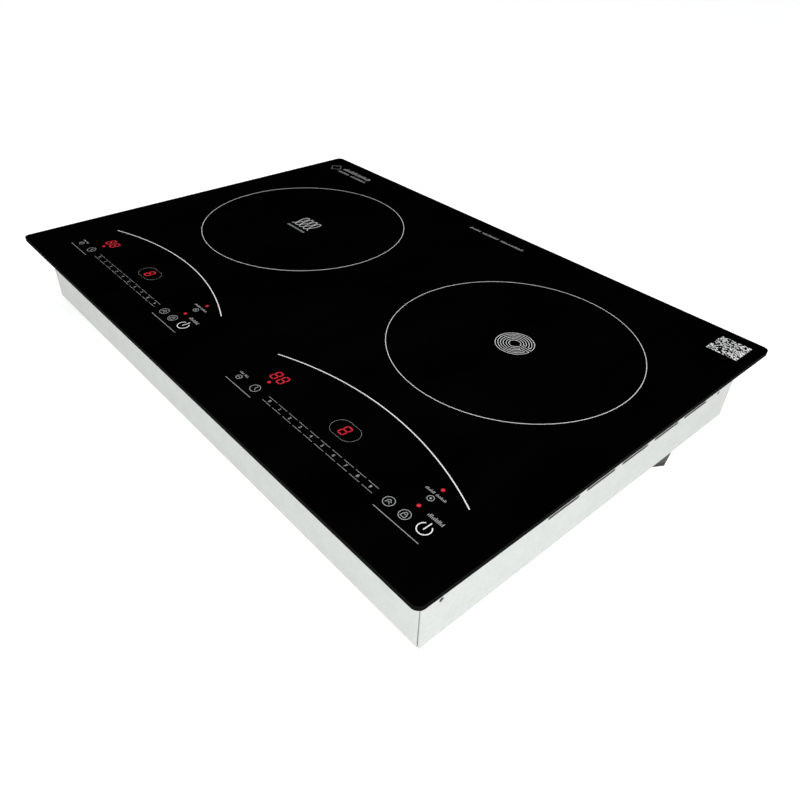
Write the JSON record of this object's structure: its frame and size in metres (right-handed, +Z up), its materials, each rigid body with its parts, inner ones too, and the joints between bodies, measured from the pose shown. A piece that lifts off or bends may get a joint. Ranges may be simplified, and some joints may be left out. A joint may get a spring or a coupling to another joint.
{
  "type": "built-in electric hob",
  "caption": "Low built-in electric hob: black ceramic glass over a folded steel case, with an induction coil, a radiant heater, touch controls and cooling fans inside.",
  "frame": {"origin": "middle of the glass, in the plane of the worktop that its rim rests on (the underside of the foam rim seal)", "axes": "+X to the user's right, +Y to the back, +Z up; the touch controls are on the -Y side"},
  "size_m": [0.599, 0.412, 0.085],
  "materials": {
    "black_glass": "polished black ceramic glass, screen-printed",
    "galvanised_steel": "galvanised sheet with a faint spangle",
    "stamped_steel": "plain bright sheet",
    "silicone": "matt silicone bead",
    "foam": "closed-cell foam tape",
    "zinc": "bright zinc plating",
    "black_nylon": "moulded, fine texture",
    "grey_nylon": "moulded, fine texture",
    "rubber": "smooth",
    "white_plastic": "moulded nylon",
    "brass": "plain",
    "aluminium": "mill finish",
    "ferrite": "sintered, dark grey",
    "copper_litz": "varnished stranded copper",
    "mica": "pressed mica sheet",
    "white_ceramic": "unglazed steatite",
    "fibre_insulation": "pressed microporous fibre",
    "ribbon_alloy": "oxidised resistance alloy",
    "quartz": "clear rod",
    "circuit_board": "green solder mask",
    "epoxy_black": "moulded epoxy",
    "film_case": "yellow plastic box",
    "capacitor_sleeve": "shrunk sleeve",
    "relay_case": "blue plastic",
    "wire_jacket": "silicone jacket",
    "fibreglass_sleeve": "braided glass sleeve",
    "ribbon_cable": "flat cable",
    "conductive_foam": "carbon-loaded foam",
    "white_print": "fired enamel print on the glass",
    "red_light": "lit display segments and dots under the glass"
  },
  "bodies": {
    "hob": {"glass_panel": "black_glass", "glass_adhesive": "silicone", "rim_seal": "foam", "base_pan": "galvanised_steel", "side_panel_left": "galvanised_steel", "side_panel_right": "galvanised_steel", "case_screws": "zinc", "partition_plate": "stamped_steel", "gland_body": "black_nylon", "gland_cap": "grey_nylon", "gland_seal": "rubber", "gland_locknut": "black_nylon", "terminal_block": "white_ceramic", "earth_screw": "brass", "coil_tray": "aluminium", "coil_carrier": "black_nylon", "ferrite_bars": "ferrite", "coil_winding": "copper_litz", "coil_insulation": "mica", "coil_sensor": "white_ceramic", "coil_posts": "zinc", "coil_springs": "zinc", "coil_leads": "copper_litz", "induction_board": "circuit_board", "board_standoffs": "white_plastic", "heat_sink": "aluminium", "power_transistors": "epoxy_black", "bridge_rectifier": "epoxy_black", "film_capacitors": "film_case", "electrolytic_capacitors": "capacitor_sleeve", "filter_choke": "copper_litz", "supply_transformers": "film_case", "line_fuse": "zinc", "wire_connectors": "white_plastic", "radiant_dish": "stamped_steel", "insulation_base": "fibre_insulation", "insulation_ring": "fibre_insulation", "heating_ribbon": "ribbon_alloy", "limiter_rod": "quartz", "limiter_switch": "white_ceramic", "element_terminal": "white_ceramic", "dish_bracket": "stamped_steel", "dish_springs": "zinc", "element_leads": "fibreglass_sleeve", "radiant_board": "circuit_board", "power_relays": "relay_case", "fan_frames": "black_nylon", "fan_bearings": "brass", "fan_stators": "copper_litz", "fan_screws": "zinc", "control_carriers": "white_plastic", "control_boards": "circuit_board", "touch_pads": "conductive_foam", "display_modules": "white_plastic", "mains_leads": "wire_jacket", "control_ribbons": "ribbon_cable"},
    "fan_left": {"fan_rotor_left": "grey_nylon", "fan_shaft_left": "zinc"},
    "fan_right": {"fan_rotor_right": "grey_nylon", "fan_shaft_right": "zinc"}
  },
  "joints": [
    {"name": "fan_left_spin", "type": "hinge", "parent": "hob", "child": "fan_left", "pos_m": [-0.02, 0.13, -0.0462], "axis": [0, 0, 1], "continuous": true},
    {"name": "fan_right_spin", "type": "hinge", "parent": "hob", "child": "fan_right", "pos_m": [0.215, -0.125, -0.0462], "axis": [0, 0, 1], "continuous": true}
  ]
}
